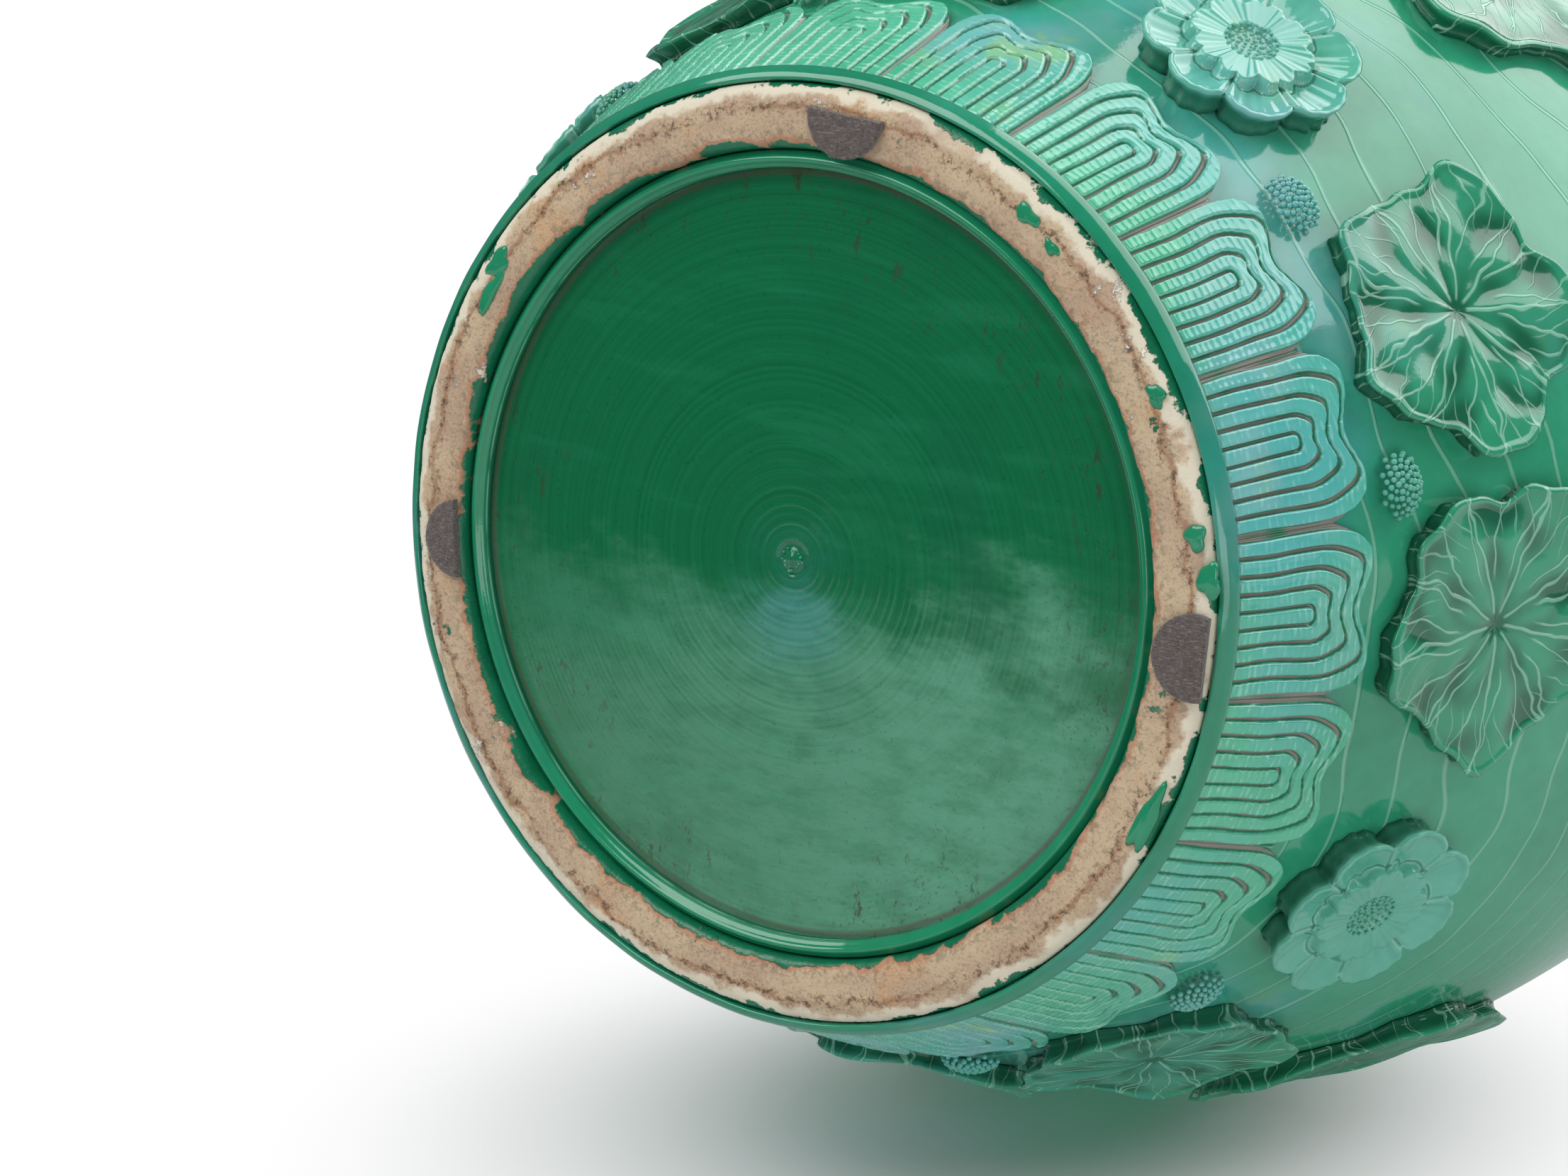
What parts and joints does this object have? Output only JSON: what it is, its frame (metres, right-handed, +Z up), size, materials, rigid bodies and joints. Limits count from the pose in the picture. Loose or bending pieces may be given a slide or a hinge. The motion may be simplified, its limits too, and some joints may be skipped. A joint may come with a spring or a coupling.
{
  "type": "vase",
  "caption": "Bulbous green-glazed vase with a band of nested lappets above an unglazed footrim, lotus relief and a flared mouth.",
  "frame": {"origin": "centre of the vase's box at the underside of the felt pads that it stands on", "axes": "+Z up along the turning axis, from the foot to the mouth"},
  "size_m": [0.4482, 0.428, 0.527],
  "materials": {
    "biscuit": "matte unglazed",
    "bead_glaze": "glossy",
    "base_glaze": "glossy",
    "wall_glaze": "glossy",
    "lappet_glaze": "glossy",
    "flower_glaze": "glossy",
    "leaf_glaze": "glossy",
    "felt": "matte felt"
  },
  "bodies": {
    "root": {"foot_ring": "biscuit", "foot_bead": "bead_glaze", "seam_coil": "base_glaze", "base_disc": "base_glaze", "lower_wall": "wall_glaze", "belly_wall": "wall_glaze", "shoulder_wall": "wall_glaze", "neck_wall": "wall_glaze", "mouth_rim": "wall_glaze", "lappet_01": "lappet_glaze", "lappet_02": "lappet_glaze", "lappet_03": "lappet_glaze", "lappet_04": "lappet_glaze", "lappet_05": "lappet_glaze", "lappet_06": "lappet_glaze", "lappet_07": "lappet_glaze", "lappet_08": "lappet_glaze", "lappet_09": "lappet_glaze", "lappet_10": "lappet_glaze", "lappet_11": "lappet_glaze", "lappet_12": "lappet_glaze", "lappet_13": "lappet_glaze", "lappet_14": "lappet_glaze", "lappet_15": "lappet_glaze", "lappet_16": "lappet_glaze", "lappet_17": "lappet_glaze", "lappet_18": "lappet_glaze", "lappet_19": "lappet_glaze", "lappet_20": "lappet_glaze", "lotus_flower_1": "flower_glaze", "lotus_leaf_1": "leaf_glaze", "lotus_leaf_2": "leaf_glaze", "seed_pod_1": "flower_glaze", "seed_pod_2": "flower_glaze", "lotus_flower_2": "flower_glaze", "lotus_leaf_3": "leaf_glaze", "lotus_leaf_4": "leaf_glaze", "seed_pod_3": "flower_glaze", "seed_pod_4": "flower_glaze", "lotus_flower_3": "flower_glaze", "lotus_leaf_5": "leaf_glaze", "lotus_leaf_6": "leaf_glaze", "seed_pod_5": "flower_glaze", "seed_pod_6": "flower_glaze", "lotus_flower_4": "flower_glaze", "lotus_leaf_7": "leaf_glaze", "lotus_leaf_8": "leaf_glaze", "seed_pod_7": "flower_glaze", "seed_pod_8": "flower_glaze", "belly_flower_1": "flower_glaze", "belly_leaf_1": "leaf_glaze", "belly_leaf_2": "leaf_glaze", "belly_flower_2": "flower_glaze", "belly_leaf_3": "leaf_glaze", "belly_leaf_4": "leaf_glaze", "felt_pad_1": "felt", "felt_pad_2": "felt", "felt_pad_3": "felt"}
  },
  "joints": []
}
